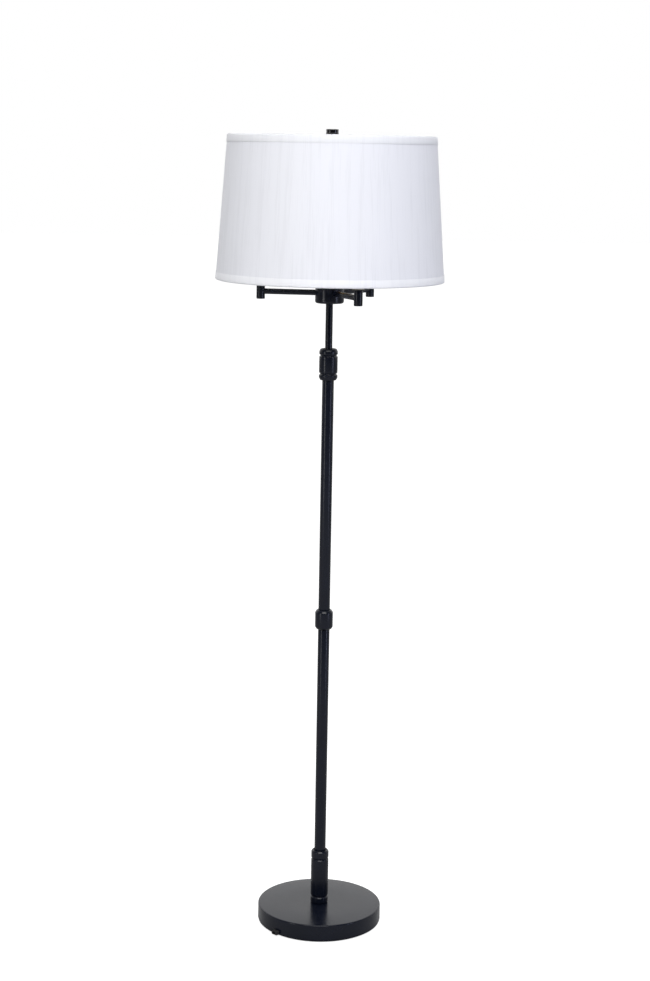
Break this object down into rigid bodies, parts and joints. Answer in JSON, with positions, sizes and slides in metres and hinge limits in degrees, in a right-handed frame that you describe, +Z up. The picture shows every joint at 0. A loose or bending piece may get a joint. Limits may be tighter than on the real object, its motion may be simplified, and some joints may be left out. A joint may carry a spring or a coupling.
{
  "type": "cluster floor lamp",
  "caption": "Straight-pole floor lamp with a tapered drum shade, a hub of short arms with side lights, a twist-lock telescoping tube and a round weighted base.",
  "frame": {"origin": "centre of the underside of the base, on the floor", "axes": "+Z up along the pole; -Y towards the viewer's side of the lamp, with one arm at the left along -X"},
  "size_m": [0.4516, 0.4516, 1.6206],
  "materials": {
    "black_paint": "satin",
    "gloss_black": "gloss",
    "zinc_steel": "plated",
    "cast_iron": "cast",
    "brass": "plated",
    "nylon": "moulded",
    "phenolic": "moulded",
    "candle_white": "satin",
    "opal_glass": "opal",
    "rubber": "matt",
    "felt": "pressed",
    "shade_fabric": "woven",
    "shade_trim": "woven"
  },
  "bodies": {
    "pole": {"floor_pad": "felt", "bottom_pan": "black_paint", "base_weight": "cast_iron", "base_cover": "black_paint", "cord_bushing": "rubber", "stem_washer": "zinc_steel", "stem_nut": "zinc_steel", "threaded_stem": "zinc_steel", "pole_plug": "zinc_steel", "base_sleeve": "black_paint", "lower_tube": "black_paint", "upper_tube": "black_paint", "tube_coupling": "zinc_steel", "middle_collar": "black_paint", "lock_collet": "nylon"},
    "twist_lock": {"lock_collar": "black_paint"},
    "light_head": {"slide_foot": "nylon", "slide_tube": "black_paint", "slide_nut": "zinc_steel", "hub_body": "black_paint", "hub_cap": "black_paint", "cap_nut": "zinc_steel", "centre_nipple": "zinc_steel", "side_switch": "phenolic", "arm_tube_left": "black_paint", "arm_nut_left": "zinc_steel", "arm_knuckle_left": "black_paint", "candle_holder_left": "phenolic", "candle_sleeve_left": "candle_white", "candle_bulb_left": "opal_glass", "arm_tube_front": "black_paint", "arm_nut_front": "zinc_steel", "arm_knuckle_front": "black_paint", "candle_holder_front": "phenolic", "candle_sleeve_front": "candle_white", "candle_bulb_front": "opal_glass", "arm_tube_back": "black_paint", "arm_nut_back": "zinc_steel", "arm_knuckle_back": "black_paint", "candle_holder_back": "phenolic", "candle_sleeve_back": "candle_white", "candle_bulb_back": "opal_glass", "harp_saddle": "brass", "harp": "brass", "harp_ferrule_left": "brass", "harp_ferrule_right": "brass", "socket_cap": "brass", "socket_shell": "brass", "socket_core": "phenolic", "main_bulb": "opal_glass"},
    "side_knob": {"side_switch_knob": "gloss_black"},
    "main_knob": {"main_switch_knob": "gloss_black"},
    "shade": {"shade_drum": "shade_fabric", "bottom_trim": "shade_trim", "top_trim": "shade_trim", "bottom_hoop": "zinc_steel", "shade_spider": "brass"},
    "finial": {"finial": "gloss_black"}
  },
  "joints": [
    {"name": "height_slide", "type": "slide", "parent": "pole", "child": "light_head", "axis": [0, 0, 1], "range_m": [-0.088, 0.17]},
    {"name": "lock_twist", "type": "hinge", "parent": "pole", "child": "twist_lock", "pos_m": [0, 0, 1.1625], "axis": [0, 0, 1], "range_deg": [0, 180]},
    {"name": "side_switch_turn", "type": "hinge", "parent": "light_head", "child": "side_knob", "pos_m": [0, 0, 1.304], "axis": [-0.4051, 0.9143, 0], "continuous": true},
    {"name": "main_switch_turn", "type": "hinge", "parent": "light_head", "child": "main_knob", "pos_m": [0, 0, 1.3437], "axis": [0, -1, 0], "continuous": true},
    {"name": "shade_turn", "type": "hinge", "parent": "light_head", "child": "shade", "pos_m": [0, 0, 1.5975], "axis": [0, 0, 1], "continuous": true},
    {"name": "finial_turn", "type": "hinge", "parent": "light_head", "child": "finial", "pos_m": [0, 0, 1.61], "axis": [0, 0, 1], "continuous": true}
  ]
}
